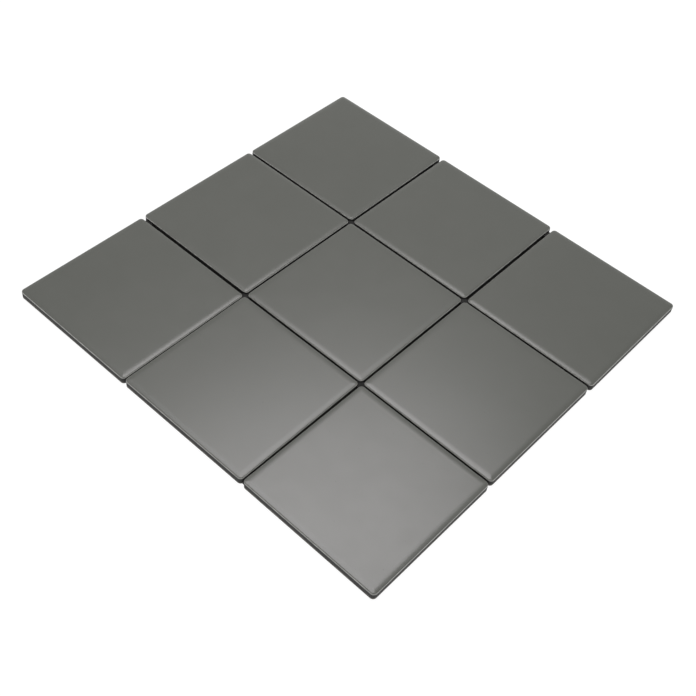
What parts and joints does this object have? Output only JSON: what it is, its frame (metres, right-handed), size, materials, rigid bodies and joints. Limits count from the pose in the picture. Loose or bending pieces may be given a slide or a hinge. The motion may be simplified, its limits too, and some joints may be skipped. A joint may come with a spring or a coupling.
{
  "type": "mosaic tile sheet",
  "caption": "Flat sheet of square dark grey porcelain mosaic tiles with rounded upper edges and ribbed backs, held edge to edge by small moulded dots, for tiling floors and walls.",
  "frame": {"origin": "middle of the sheet in plan, on the plane of the backs of the tiles' ribs", "axes": "+Z out of the tiles' faces; +X and +Y along the joints; the pictured near corner is at +X and -Y"},
  "size_m": [0.2992, 0.2996, 0.006],
  "materials": {
    "glaze": "smooth satin glaze, dark grey, thinner on the rounded edges",
    "dots": "dark grey moulded elastomer, matt"
  },
  "bodies": {
    "root": {"tile_1_1": "glaze", "tile_1_2": "glaze", "tile_1_3": "glaze", "tile_2_1": "glaze", "tile_2_2": "glaze", "tile_2_3": "glaze", "tile_3_1": "glaze", "tile_3_2": "glaze", "tile_3_3": "glaze", "dot_1_1": "dots", "dot_1_2": "dots", "dot_2_1": "dots", "dot_2_2": "dots", "dot_front_1": "dots", "dot_front_2": "dots", "dot_back_1": "dots", "dot_back_2": "dots", "dot_left_1": "dots", "dot_left_2": "dots", "dot_right_1": "dots", "dot_right_2": "dots"}
  },
  "joints": []
}
